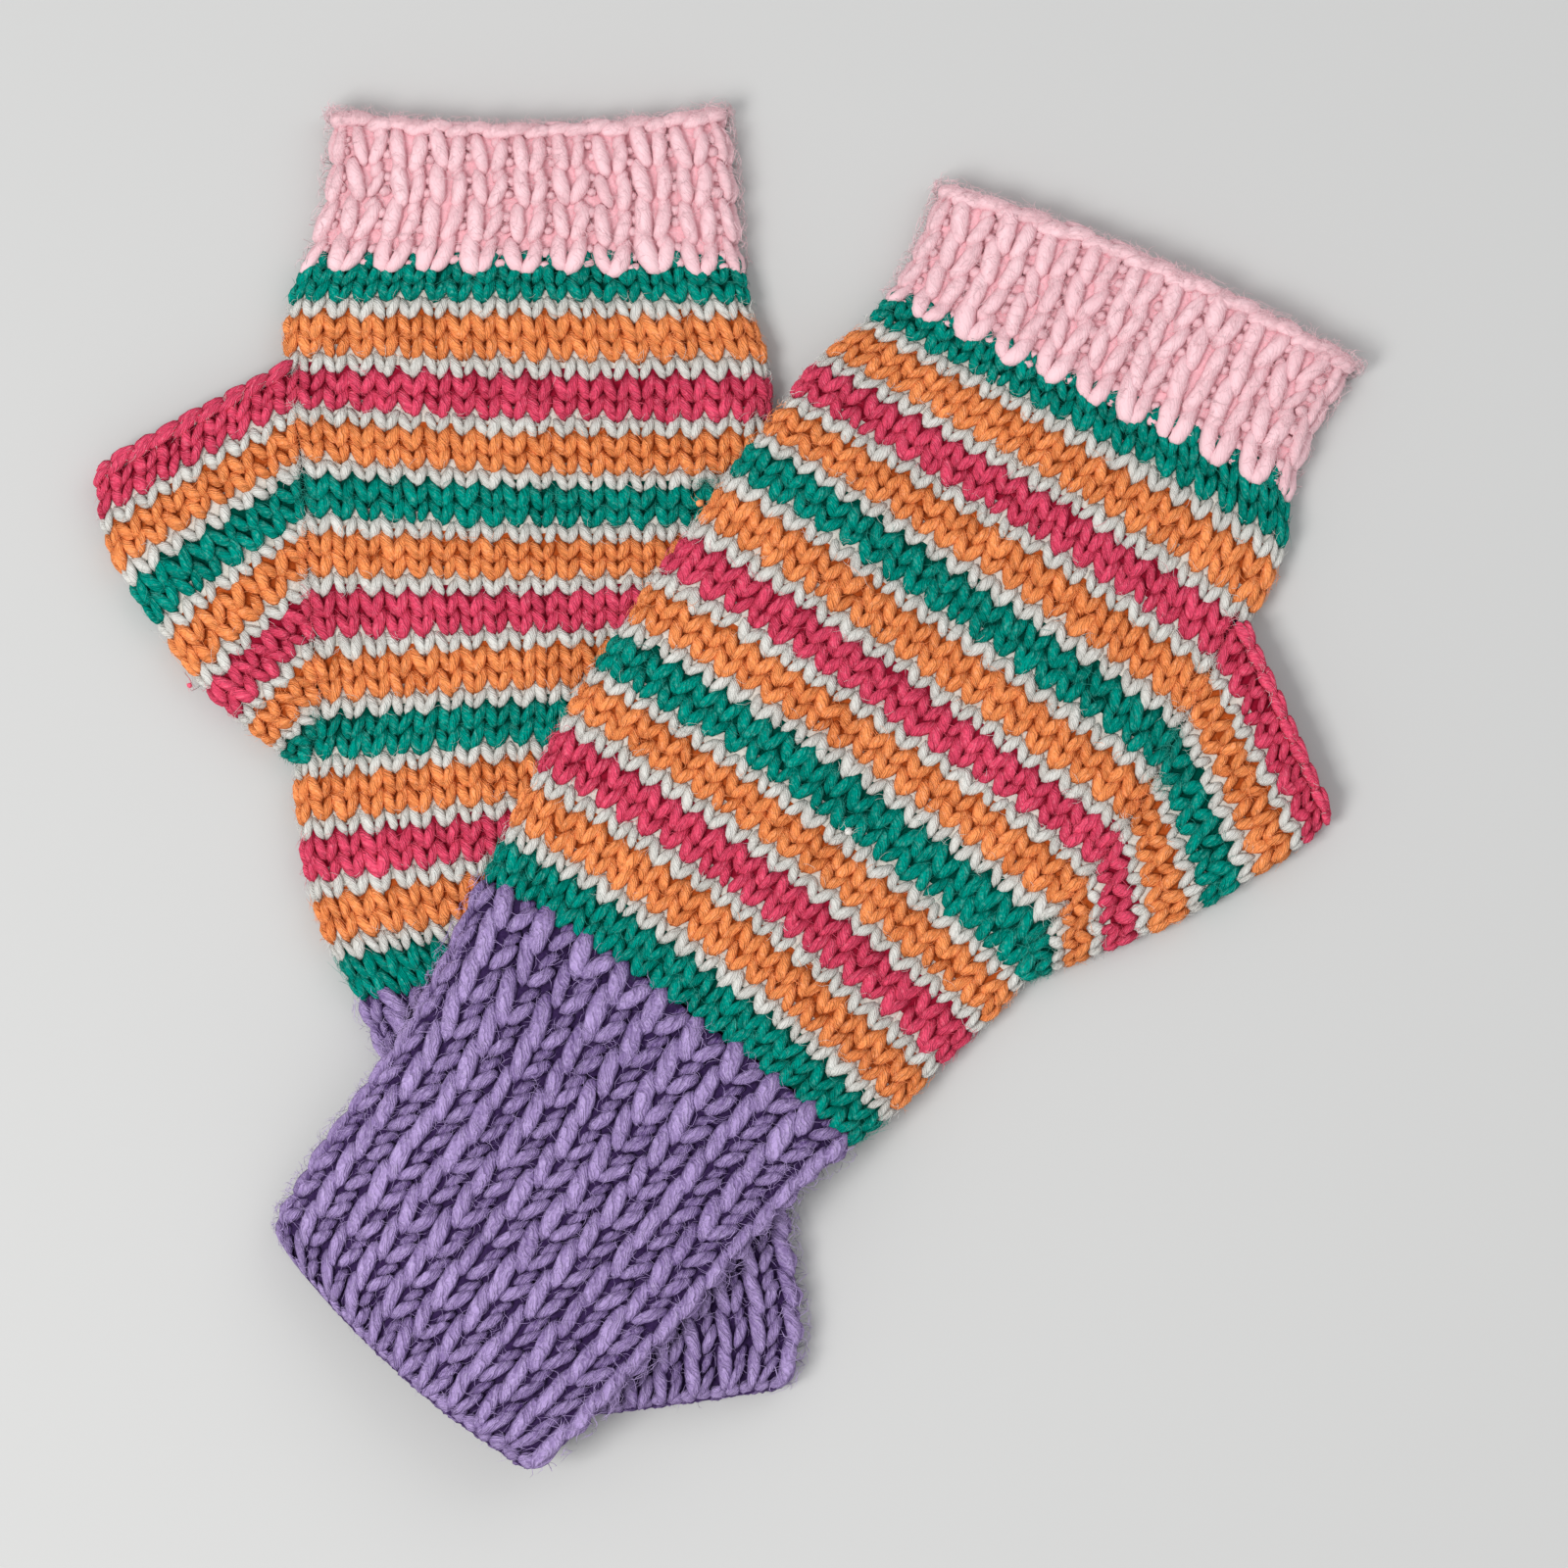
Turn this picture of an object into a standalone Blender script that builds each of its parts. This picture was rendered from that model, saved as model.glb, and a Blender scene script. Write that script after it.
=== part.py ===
"""Pair of hand-knitted fingerless mittens, laid flat with the right one draped over the left one.

Each mitten is four knitted parts: a ribbed cuff, the hand, a thumb gusset and a ribbed finger edge.
Every part is one wall of cloth, flattened to a tube of two layers. Tables are in millimetres, with X to
the right and Y towards the fingertips as the pair is seen from above; the model itself is in metres, +Z up.
"""
import math

import bmesh
import bpy
import numpy as np
from mathutils import Vector
from mathutils.bvhtree import BVHTree

MM = 0.001

# Sizes of the knitted fabric, in millimetres
HAND_WALL = 2.9  # one layer of stockinette
RIB_WALL = 3.0  # one layer of rib, measured in its grooves
CUFF_RELIEF = 1.7  # how far a knit wale of the cuff stands over its grooves
FINGER_RELIEF = 1.3  # the same on the finely ribbed finger edge
LAYER_GAP = 1.2  # air left between the two layers of a flattened tube
CROWN = 0.9  # how much thicker a tube is along its middle
SEAM_GAP = 0.3  # between neighbouring parts
RIBS_ACROSS = 9  # knit wales on the flat front of a rib, between its two folded sides
SEAM_COURSES = 0.1  # the same gap along the knitting, in courses of 3.8 mm
END_TRIM = 0.2  # how far a part is drawn back at an end that meets its neighbour

# Gusset: the courses of the hand between which the thumb is let in
GUSSET_FROM = 12.0
GUSSET_TO = 32.0

# The drape of the right mitten over the left one, in millimetres
CLEARANCE = 0.5  # between the two mittens
FLAT_REACH = 4.0  # how far the lifted cloth stays level past what holds it up
FALL_REACH = 38.0  # where it has come down to the surface again
GRID_STEP = 2.5  # of the height map of the left mitten
GRID_HALF = 170.0  # half the width of that map
RAY_START = 100.0  # the height from which it is measured
BLUR_PASSES = 2

# Position of the pair: the middle of its outline is moved to the origin
MIDDLE_X = 0.05
MIDDLE_Y = -0.3

# Sections of each part, from the cuff towards the fingers. The thumb side and the little-finger side are the
# two ends of the section. bow is how far its middle lies towards the fingers. In the hand, course counts the
# knitted rows from the cuff, and folded is 1 where the thumb side is a fold of the tube and 0 where it is the
# line at which the gusset starts.
RIB_FIELDS = ("thumb_x", "thumb_y", "little_x", "little_y", "bow")
HAND_FIELDS = ("course", "thumb_x", "thumb_y", "little_x", "little_y", "folded")
GUSSET_FIELDS = ("course", "fold_x", "fold_y")

LEFT = {
    "side": 1,
    "cuff": (
        (-44.5, -119.0, 10.5, -112.5, -0.8),
        (-47.5, -114.0, 13.5, -106.5, -0.6),
        (-49.0, -106.5, 13.5, -98.5, -0.3),
        (-53.5, -90.0, 11.0, -83.5, 0.0),
        (-58.5, -69.5, 9.5, -62.5, 0.0),
        (-64.5, -50.0, 8.5, -40.0, 0.0),
        (-69.5, -40.0, 7.0, -26.5, 0.0),
    ),
    "hand": (
        (0.0, -69.5, -40.0, 7.0, -26.5, 1),
        (2.5, -74.0, -31.5, 7.0, -18.0, 1),
        (5.5, -77.5, -20.5, 7.0, -8.5, 1),
        (8.5, -80.0, -9.0, 7.0, 0.5, 1),
        (12.0, -82.0, 4.0, 7.0, 11.5, 1),
        (14.5, -76.5, 12.5, 7.0, 20.0, 0),
        (17.5, -78.0, 23.0, 7.5, 29.5, 0),
        (20.5, -79.0, 34.0, 7.5, 39.0, 0),
        (23.5, -79.5, 45.0, 7.5, 48.5, 0),
        (26.5, -80.5, 56.0, 8.0, 59.0, 0),
        (29.5, -82.0, 67.5, 8.0, 69.0, 0),
        (32.0, -84.0, 77.0, 8.0, 78.5, 1),
        (35.5, -82.5, 91.5, 4.5, 92.0, 1),
        (38.0, -79.5, 100.0, 3.0, 100.0, 1),
    ),
    "gusset": (
        (12.0, -82.0, 4.0),
        (14.5, -88.0, 10.0),
        (17.5, -95.5, 16.5),
        (20.5, -102.0, 24.0),
        (23.5, -107.5, 32.0),
        (26.5, -113.5, 39.5),
        (29.5, -118.0, 47.5),
        (32.0, -119.5, 56.5),
    ),
    "finger": (
        (-79.5, 100.0, 3.0, 100.0, 0.0),
        (-78.0, 108.0, 3.0, 108.5, -0.6),
        (-77.0, 118.0, 2.0, 119.0, -2.0),
        (-76.0, 128.0, 1.5, 128.5, -3.6),
    ),
}

RIGHT = {
    "side": -1,
    "cuff": (
        (-36.5, -128.5, -82.0, -88.0, -4.0),
        (-31.0, -123.5, -85.5, -83.0, -2.5),
        (-20.0, -112.5, -81.0, -72.5, -1.5),
        (-9.0, -101.5, -74.0, -61.5, -0.5),
        (2.0, -89.0, -63.0, -48.5, 0.0),
        (13.5, -76.0, -52.5, -31.5, 0.0),
        (23.0, -67.5, -45.5, -18.0, 0.0),
    ),
    "hand": (
        (0.0, 23.0, -67.5, -45.5, -18.0, 1),
        (2.5, 29.5, -61.0, -41.5, -9.0, 1),
        (5.5, 37.5, -53.0, -36.5, 1.0, 1),
        (8.5, 46.0, -45.0, -31.0, 12.0, 1),
        (12.0, 56.0, -36.5, -25.0, 22.0, 1),
        (14.5, 63.0, -23.0, -19.5, 29.5, 0),
        (17.5, 70.5, -13.5, -14.0, 39.0, 0),
        (20.5, 77.0, -4.5, -6.5, 48.5, 0),
        (23.5, 82.5, 4.5, -0.5, 57.5, 0),
        (26.5, 87.0, 14.0, 5.0, 65.0, 0),
        (29.5, 91.5, 23.0, 10.5, 72.5, 0),
        (32.0, 96.0, 31.0, 16.0, 80.0, 1),
        (35.5, 104.0, 46.0, 25.5, 87.5, 1),
        (38.0, 107.0, 56.5, 29.5, 92.5, 1),
    ),
    "gusset": (
        (12.0, 56.0, -36.5),
        (14.5, 62.0, -33.5),
        (17.5, 69.0, -30.5),
        (20.5, 78.0, -26.5),
        (23.5, 88.0, -21.5),
        (26.5, 97.0, -15.5),
        (29.5, 106.0, -11.0),
        (32.0, 114.0, -5.0),
    ),
    "finger": (
        (107.0, 56.5, 29.5, 92.5, 0.0),
        (110.5, 64.5, 33.0, 99.0, 1.5),
        (115.0, 72.5, 37.0, 107.0, 3.0),
        (119.0, 80.0, 39.5, 114.5, 4.5),
    ),
}

# Yarn colours of the four parts, linear
CUFF_COLOUR = (0.39, 0.27, 0.58, 1.0)
HAND_COLOUR = (0.80, 0.27, 0.09, 1.0)
GUSSET_COLOUR = (0.68, 0.05, 0.12, 1.0)
FINGER_COLOUR = (0.85, 0.58, 0.64, 1.0)

TOP_COLUMNS = 13  # points across a plain panel
FOLD_COLUMNS = 3  # points round a plain fold
RIB_FOLD_COLUMNS = 5
GUSSET_PANEL_COLUMNS = 6
WALE_SHAPE = (0.0, 0.8, 1.0, 0.8)  # height of a knit wale of a rib, from groove to groove
FOLD_WALE_SHAPE = (0.6, 0.9, 0.5, 0.0, 0.0)  # the same round a fold, from the front to the flat back


def rows_of(table, columns):
    """The table as one dictionary a row."""
    return [dict(zip(columns, row)) for row in table]


def fold_radius(wall):
    return wall + LAYER_GAP / 2


def section(row, side, wall, relief, folded, columns):
    """Points round one section, outside and inside: the front from the thumb side to the little-finger side,
    the fold there, the back, and the fold of the thumb side. Rows are x, y and z in millimetres."""
    start = np.array([row["thumb_x"], row["thumb_y"]])
    end = np.array([row["little_x"], row["little_y"]])
    width = np.linalg.norm(end - start)
    across = (end - start) / width
    ahead = side * np.array([-across[1], across[0]])
    radius = fold_radius(wall)
    near, far = radius * folded, width - radius
    top, fold, bottom = columns
    outside, inside = [], []

    def add(along, height, wave, way):
        """A point on the middle line of the wall, with its way out to the surface."""
        for points, out in ((outside, wall / 2 + relief * wave), (inside, -wall / 2)):
            s = along + way[0] * out
            u = min(max(s / width, 0.0), 1.0)
            place = start + across * s + ahead * row["bow"] * 4 * u * (1 - u)
            points.append((place[0], place[1], height + way[1] * out))

    middle = radius - wall / 2
    for i in range(top):
        t = i / (top - 1)
        wave = WALE_SHAPE[i % 4] if relief else 0.0
        swell = CROWN * math.sin(math.pi * t)
        add(near + (far - near) * t, radius + middle + swell, wave, (0.0, 1.0))
    for i in range(fold):
        turn = math.pi / 2 - math.pi * (i + 1) / (fold + 1)
        wave = FOLD_WALE_SHAPE[i] if relief else 0.0
        way = (math.cos(turn), math.sin(turn))
        add(far + middle * way[0], radius + middle * way[1], wave, way)
    for i in range(bottom):
        t = i / (bottom - 1)
        add(far + (near - far) * t, radius - middle, 0.0, (0.0, -1.0))
    for i in range(fold):
        turn = -math.pi / 2 + math.pi * (i + 1) / (fold + 1)
        wave = FOLD_WALE_SHAPE[fold - 1 - i] if relief else 0.0
        way = (-math.cos(turn), math.sin(turn))
        add(near + middle * way[0], radius + middle * way[1], wave, way)
    return np.array(outside), np.array(inside)


def wall_mesh(name, outside, inside, kept, wraps, lift, colour, collection):
    """One closed body from a grid of sections: its outside, its inside, and the wall between them all round
    the quads that are kept."""
    rows, columns = kept.shape
    width = outside.shape[1]
    outer, back = [], set()
    for j in range(rows):
        for i in range(columns):
            k = (i + 1) % width
            if not kept[j, i] or (k == 0 and not wraps):
                continue
            outer.append(((j, i), (j, k), (j + 1, k), (j + 1, i)))
    for quad in outer:
        back.update(zip(quad, quad[1:] + quad[:1]))
    mesh = bmesh.new()
    made = {}

    def vertex(place, inner):
        if (place, inner) not in made:
            x, y, z = (inside if inner else outside)[place]
            z = z + lift(x, y)
            made[place, inner] = mesh.verts.new(((x - MIDDLE_X) * MM, (y - MIDDLE_Y) * MM, z * MM))
        return made[place, inner]

    for quad in outer:
        mesh.faces.new([vertex(p, False) for p in quad])
        mesh.faces.new([vertex(p, True) for p in reversed(quad)])
        for p, q in zip(quad, quad[1:] + quad[:1]):
            if (q, p) not in back:
                mesh.faces.new([vertex(q, False), vertex(p, False), vertex(p, True), vertex(q, True)])
    bmesh.ops.triangulate(mesh, faces=mesh.faces[:])
    bmesh.ops.recalc_face_normals(mesh, faces=mesh.faces[:])
    data = bpy.data.meshes.new(name)
    mesh.to_mesh(data)
    mesh.free()
    material = bpy.data.materials.new(name + "_yarn")
    material.use_nodes = True
    shader = material.node_tree.nodes["Principled BSDF"]
    shader.inputs["Base Color"].default_value = colour
    shader.inputs["Roughness"].default_value = 0.95
    data.materials.append(material)
    obj = bpy.data.objects.new(name, data)
    collection.objects.link(obj)
    return obj


def trimmed(rows, first, last):
    """The sections of a part with its first or last one drawn back from the neighbour there."""
    rows = [dict(row) for row in rows]
    for end, other, wanted in ((0, 1, first), (-1, -2, last)):
        if not wanted:
            continue
        for x, y in (("thumb_x", "thumb_y"), ("little_x", "little_y")):
            step = np.array([rows[other][x] - rows[end][x], rows[other][y] - rows[end][y]])
            step *= END_TRIM / np.linalg.norm(step)
            rows[end][x] += step[0]
            rows[end][y] += step[1]
    return rows


def at_course(rows, course, name):
    return float(np.interp(course, [row["course"] for row in rows], [row[name] for row in rows]))


def rib(name, mitten, part, relief, colour, lift, collection):
    """A ribbed end of the tube. It leaves a seam at the end that meets the hand."""
    rows = rows_of(mitten[part], RIB_FIELDS)
    rows = trimmed(rows, part == "finger", part == "cuff")
    columns = (4 * RIBS_ACROSS + 1, RIB_FOLD_COLUMNS, TOP_COLUMNS)
    rings = [section(row, mitten["side"], RIB_WALL, relief, 1.0, columns) for row in rows]
    outside, inside = (np.array([ring[k] for ring in rings]) for k in (0, 1))
    kept = np.ones((len(rows) - 1, outside.shape[1]), bool)
    return wall_mesh(name, outside, inside, kept, True, lift, colour, collection)


def hand(name, mitten, lift, collection):
    """The striped tube between the ribs, open along its side where the thumb gusset is let in."""
    rows = rows_of(mitten["hand"], HAND_FIELDS)
    for row in rows:
        row["bow"] = 0.0
    rows = trimmed(rows, True, True)
    columns = (TOP_COLUMNS, FOLD_COLUMNS, TOP_COLUMNS)
    rings = [section(row, mitten["side"], HAND_WALL, 0.0, row["folded"], columns) for row in rows]
    outside, inside = (np.array([ring[k] for ring in rings]) for k in (0, 1))
    kept = np.ones((len(rows) - 1, outside.shape[1]), bool)
    slot = [j for j, row in enumerate(rows[:-1]) if GUSSET_FROM <= row["course"] < GUSSET_TO]
    fold_start = 2 * TOP_COLUMNS + FOLD_COLUMNS - 1
    kept[slot, fold_start:] = False
    return wall_mesh(name, outside, inside, kept, True, lift, HAND_COLOUR, collection)


def gusset(name, mitten, lift, collection):
    """The thumb: front, outer fold and back in one piece, open at its upper edge and towards the hand."""
    hand_rows = rows_of(mitten["hand"], HAND_FIELDS)
    rows = []
    for row in rows_of(mitten["gusset"], GUSSET_FIELDS):
        course = min(max(row["course"], GUSSET_FROM + SEAM_COURSES), GUSSET_TO - SEAM_COURSES)
        edge = np.array([at_course(hand_rows, course, k) for k in ("thumb_x", "thumb_y")])
        other = np.array([at_course(hand_rows, course, k) for k in ("little_x", "little_y")])
        across = (other - edge) / np.linalg.norm(other - edge)
        edge = edge + across * fold_radius(HAND_WALL) * at_course(hand_rows, course, "folded")
        fold = np.array([row["fold_x"], row["fold_y"]])
        edge = edge + (fold - edge) / np.linalg.norm(fold - edge) * SEAM_GAP
        rows.append({"thumb_x": edge[0], "thumb_y": edge[1], "little_x": fold[0], "little_y": fold[1], "bow": 0.0})
    columns = (GUSSET_PANEL_COLUMNS, FOLD_COLUMNS, GUSSET_PANEL_COLUMNS)
    rings = [section(row, -mitten["side"], HAND_WALL, 0.0, 0.0, columns) for row in rows]
    used = 2 * GUSSET_PANEL_COLUMNS + FOLD_COLUMNS
    outside, inside = (np.array([ring[k][:used] for ring in rings]) for k in (0, 1))
    kept = np.ones((len(rows) - 1, used), bool)
    return wall_mesh(name, outside, inside, kept, False, lift, GUSSET_COLOUR, collection)


def mitten_parts(prefix, mitten, lift, collection):
    return [
        rib(prefix + "_cuff_rib", mitten, "cuff", CUFF_RELIEF, CUFF_COLOUR, lift, collection),
        hand(prefix + "_hand", mitten, lift, collection),
        gusset(prefix + "_thumb_gusset", mitten, lift, collection),
        rib(prefix + "_finger_rib", mitten, "finger", FINGER_RELIEF, FINGER_COLOUR, lift, collection),
    ]


def height_map(parts):
    """Heights of the parts on a square grid, in millimetres."""
    trees = []
    for obj in parts:
        data = obj.data
        trees.append(BVHTree.FromPolygons([v.co for v in data.vertices], [p.vertices[:] for p in data.polygons]))
    count = int(2 * GRID_HALF / GRID_STEP) + 1
    heights = np.zeros((count, count))
    for i in range(count):
        for j in range(count):
            start = Vector((i * GRID_STEP - GRID_HALF, j * GRID_STEP - GRID_HALF, RAY_START)) * MM
            for tree in trees:
                hit = tree.ray_cast(start, Vector((0, 0, -1)))[0]
                if hit is not None:
                    heights[i, j] = max(heights[i, j], hit.z / MM)
    return heights


def drape_over(parts):
    """A function of x and y: how high cloth lies that is laid over the parts and falls smoothly beside them."""
    heights = height_map(parts)
    count = len(heights)
    raised = np.zeros_like(heights)
    reach = int(FALL_REACH / GRID_STEP)
    for a in range(-reach, reach + 1):
        for b in range(-reach, reach + 1):
            distance = math.hypot(a, b) * GRID_STEP
            t = min(max((distance - FLAT_REACH) / (FALL_REACH - FLAT_REACH), 0.0), 1.0)
            share = 1 - t * t * (3 - 2 * t)
            if share <= 0:
                continue
            shifted = np.zeros_like(heights)
            shifted[max(a, 0):count + min(a, 0), max(b, 0):count + min(b, 0)] = heights[
                max(-a, 0):count + min(-a, 0), max(-b, 0):count + min(-b, 0)]
            raised = np.maximum(raised, (shifted + CLEARANCE * (shifted > 0)) * share)

    for _ in range(BLUR_PASSES):
        for axis in (0, 1):
            raised = (np.roll(raised, 1, axis) + raised + np.roll(raised, -1, axis)) / 3

    def lift(x, y):
        i = (x - MIDDLE_X + GRID_HALF) / GRID_STEP
        j = (y - MIDDLE_Y + GRID_HALF) / GRID_STEP
        a, b = int(i), int(j)
        s, t = i - a, j - b
        low = raised[a, b] * (1 - s) + raised[a + 1, b] * s
        high = raised[a, b + 1] * (1 - s) + raised[a + 1, b + 1] * s
        return float(low * (1 - t) + high * t)

    return lift


def main():
    for obj in list(bpy.data.objects):
        bpy.data.objects.remove(obj)
    collection = bpy.data.collections.new("Fingerless mittens")
    bpy.context.scene.collection.children.link(collection)
    under = mitten_parts("left", LEFT, lambda x, y: 0.0, collection)
    mitten_parts("right", RIGHT, drape_over(under), collection)


main()
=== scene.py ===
"""A pair of hand-knitted fingerless mittens on a pale table, the right one lying over the left one.

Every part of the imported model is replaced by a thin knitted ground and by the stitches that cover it, each
leg of a stitch a small bent grain of yarn laid on the part's own surface. The tables are those of the CAD
part, moved a little to fit the photo. They are in millimetres, and what is built from them is in metres.
"""
import math
from functools import cache

import bmesh
import bpy
import numpy as np
from bpy.props import FloatProperty, FloatVectorProperty, IntProperty, PointerProperty
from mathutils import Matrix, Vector
from mathutils.bvhtree import BVHTree


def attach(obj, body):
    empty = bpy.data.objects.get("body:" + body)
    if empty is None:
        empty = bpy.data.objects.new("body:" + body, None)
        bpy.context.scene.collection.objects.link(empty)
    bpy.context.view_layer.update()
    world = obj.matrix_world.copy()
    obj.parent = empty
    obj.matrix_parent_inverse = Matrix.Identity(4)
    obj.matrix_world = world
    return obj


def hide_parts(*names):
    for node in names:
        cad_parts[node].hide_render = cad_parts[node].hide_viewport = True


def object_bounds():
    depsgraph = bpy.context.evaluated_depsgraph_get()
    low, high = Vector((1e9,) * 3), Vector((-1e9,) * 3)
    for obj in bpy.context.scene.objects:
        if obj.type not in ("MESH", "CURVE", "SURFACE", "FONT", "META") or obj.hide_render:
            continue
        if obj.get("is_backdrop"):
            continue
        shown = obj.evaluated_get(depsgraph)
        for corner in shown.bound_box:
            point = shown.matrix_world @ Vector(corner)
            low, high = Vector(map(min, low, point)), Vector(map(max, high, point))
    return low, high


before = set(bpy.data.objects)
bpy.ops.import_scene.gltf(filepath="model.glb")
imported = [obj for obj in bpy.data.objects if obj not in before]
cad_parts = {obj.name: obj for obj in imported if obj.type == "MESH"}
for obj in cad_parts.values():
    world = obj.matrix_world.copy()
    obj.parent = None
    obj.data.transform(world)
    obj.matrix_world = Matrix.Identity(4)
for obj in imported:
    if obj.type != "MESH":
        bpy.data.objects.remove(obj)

bl_info = {
    "name": "Knitted fingerless mittens",
    "version": (1, 0, 0),
    "blender": (4, 5, 0),
    "location": "3D View > Sidebar > Mittens",
    "description": "Builds a pair of striped hand-knitted mittens around their packed solids",
    "category": "Add Mesh",
}

MM = 0.001

# Sizes of the knitted fabric, as in the CAD part
HAND_WALL = 2.9
RIB_WALL = 3.0
LAYER_GAP = 1.2
CROWN = 0.9
SEAM_GAP = 0.3
LOWEST = 0.02  # nothing dips into the table
RIBS_ACROSS = 9
RIBS_HALF = RIBS_ACROSS + 1  # knit wales from one fold of a rib to the other
GUSSET_FROM = 12.0
GUSSET_TO = 32.0
COURSES = 38

# Millimetres to a stitch's width and height on the hand and gusset, and to a row of a rib's edge and fibres
WALE = 4.8
COURSE = 3.75
RIB_ROW = 6.5
GROUND_SHIFT = 0.4  # of a course: between the stitches of a course the tops of the one below are seen

# The drape of the right mitten over the left one, as in the CAD part
CLEARANCE = 0.5
FLAT_REACH = 4.0
FALL_REACH = 38.0
GRID_STEP = 2.5
GRID_HALF = 170.0
RAY_START = 100.0
BLUR_PASSES = 2
MIDDLE = np.array([0.05, -0.3])

RIB_FIELDS = ("thumb_x", "thumb_y", "little_x", "little_y", "bow")
HAND_FIELDS = ("course", "thumb_x", "thumb_y", "little_x", "little_y", "bow")
GUSSET_FIELDS = ("course", "fold_x", "fold_y")

LEFT = {
    "side": 1,
    "stitches": 20,
    "cuff": (
        (-44.5, -119.4, 10.5, -113.0, -0.8), (-47.5, -114.0, 13.5, -106.5, -0.6),
        (-49.0, -106.5, 13.5, -98.5, -0.3), (-53.5, -90.0, 11.0, -83.5, 0.0),
        (-58.5, -69.5, 9.5, -62.5, 0.0), (-64.5, -50.0, 8.5, -40.0, 0.0),
        (-69.5, -40.0, 7.0, -26.5, 0.0),
    ),
    "hand": (
        (0.0, -69.5, -40.0, 7.0, -26.5, 0.0), (2.5, -75.1, -31.1, 7.0, -17.7, 0.0),
        (5.5, -79.2, -19.8, 7.0, -8.2, 0.0), (8.5, -81.0, -8.4, 7.0, 0.6, 0.0),
        (12.0, -82.1, 5.0, 7.0, 11.5, 0.0), (14.5, -76.7, 14.3, 7.0, 20.0, 0.0),
        (17.5, -78.3, 26.3, 7.5, 29.6, -0.2), (20.5, -79.3, 38.6, 7.5, 39.2, -0.9),
        (23.5, -79.7, 50.0, 7.5, 48.5, -1.5), (26.5, -80.7, 60.7, 8.0, 58.6, -1.7),
        (29.5, -82.1, 71.2, 8.0, 68.6, -1.7), (32.0, -84.6, 79.4, 8.0, 78.1, -1.2),
        (35.5, -84.3, 91.3, 4.5, 91.0, 0.2), (38.0, -81.1, 99.4, 2.4, 99.1, 0.0),
    ),
    "gusset": (
        (12.0, -82.0, 4.0), (14.5, -85.4, 6.4), (17.5, -92.1, 11.7), (20.5, -100.5, 19.0),
        (23.5, -107.8, 29.3), (26.5, -115.2, 39.9), (29.5, -119.5, 49.4), (32.0, -119.6, 57.8),
    ),
    "finger": (
        (-81.1, 99.4, 2.4, 99.1, 0.0), (-77.6, 108.0, 1.3, 108.5, -0.6),
        (-76.2, 118.0, 0.6, 119.0, -2.0), (-75.7, 128.5, -1.0, 129.0, -3.4),
    ),
}

RIGHT = {
    "side": -1,
    "stitches": 21,
    "cuff": (
        (-36.5, -128.5, -82.0, -88.2, -2.6), (-30.3, -124.1, -84.8, -83.4, -1.9),
        (-19.4, -113.0, -78.9, -74.0, -1.3), (-9.0, -101.5, -71.4, -63.3, -0.5),
        (2.0, -89.0, -60.8, -50.1, 0.0), (13.5, -76.0, -51.8, -32.1, 0.0),
        (23.6, -68.1, -45.5, -18.0, 2.0),
    ),
    "hand": (
        (0.0, 23.6, -68.1, -45.5, -18.0, 2.0), (2.5, 31.0, -62.6, -41.6, -9.2, 2.6),
        (5.5, 39.0, -54.0, -36.7, 0.8, 2.6), (8.5, 47.9, -45.5, -30.9, 12.1, 1.9),
        (12.0, 56.5, -36.9, -25.1, 21.8, 2.2), (14.5, 62.0, -24.6, -19.8, 29.1, 2.0),
        (17.5, 68.5, -16.7, -14.3, 38.6, 1.4), (20.5, 74.6, -8.2, -6.8, 48.1, 1.2),
        (23.5, 80.3, 1.1, -0.5, 57.5, 1.2), (26.5, 85.8, 12.0, 5.2, 65.3, 1.4),
        (29.5, 91.1, 22.3, 10.5, 72.5, 2.0), (32.0, 97.6, 29.3, 15.8, 79.7, 1.9),
        (35.5, 105.4, 43.6, 25.7, 87.9, 0.8), (38.0, 106.0, 55.7, 30.3, 93.2, 0.4),
    ),
    "gusset": (
        (12.0, 56.3, -37.1), (14.5, 62.1, -34.9), (17.5, 69.2, -32.3), (20.5, 78.3, -28.5),
        (23.5, 88.3, -23.9), (26.5, 98.1, -18.0), (29.5, 108.2, -11.9), (32.0, 112.0, -6.9),
    ),
    "finger": (
        (106.0, 55.7, 30.3, 93.2, 0.4), (109.0, 65.2, 34.0, 98.5, 1.2),
        (113.7, 73.0, 37.5, 106.8, 2.0), (118.6, 79.8, 40.2, 114.2, 2.4),
    ),
}

MITTENS = {"left": LEFT, "right": RIGHT}

# The stripes of the hand, course by course from the cuff
YARNS = ("lavender", "orange", "crimson", "green", "white", "pink")
BANDS = ("green", "orange", "crimson", "orange")
CRISPNESS = {"pink": 0.22, "white": 0.6}  # of the strand's plies, 1 for the other yarns
# Painted shade of the ground under the stitches: the yarn's gap colour is darkened by these shares
GROUND_SHADES = {"lavender": 0.35, "pink": 0.95, "white": 1.15}  # 0.62 for the other yarns

# The yarns of each part, its slot of the record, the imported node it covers, and how far its knit wales rise
PARTS = {
    "hand": {"yarns": YARNS, "slot": "striped_yarn", "node": "hand", "relief": 0.0},
    "gusset": {"yarns": YARNS, "slot": "striped_yarn", "node": "thumb_gusset", "relief": 0.0},
    "cuff": {"yarns": ["lavender"], "slot": "cuff_yarn", "node": "cuff_rib", "relief": 1.7},
    "finger": {"yarns": ["pink"], "slot": "finger_yarn", "node": "finger_rib", "relief": 1.3},
}


def stripe(course):
    """The yarn of one course: bands of two courses with a white course between them."""
    band, within = divmod(int(course), 3)
    return "white" if within == 2 else BANDS[band % 4]


# Surfaces of the four knitted parts

FRONT, LITTLE_FOLD, BACK, THUMB_FOLD = range(4)
SMOOTHING = (-1.2, -0.6, 0.0, 0.6, 1.2)  # courses over which the corners of a table are rounded
PAST_END = 4.0


def columns_of(table, fields):
    return dict(zip(fields, np.array(table, float).T))


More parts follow.
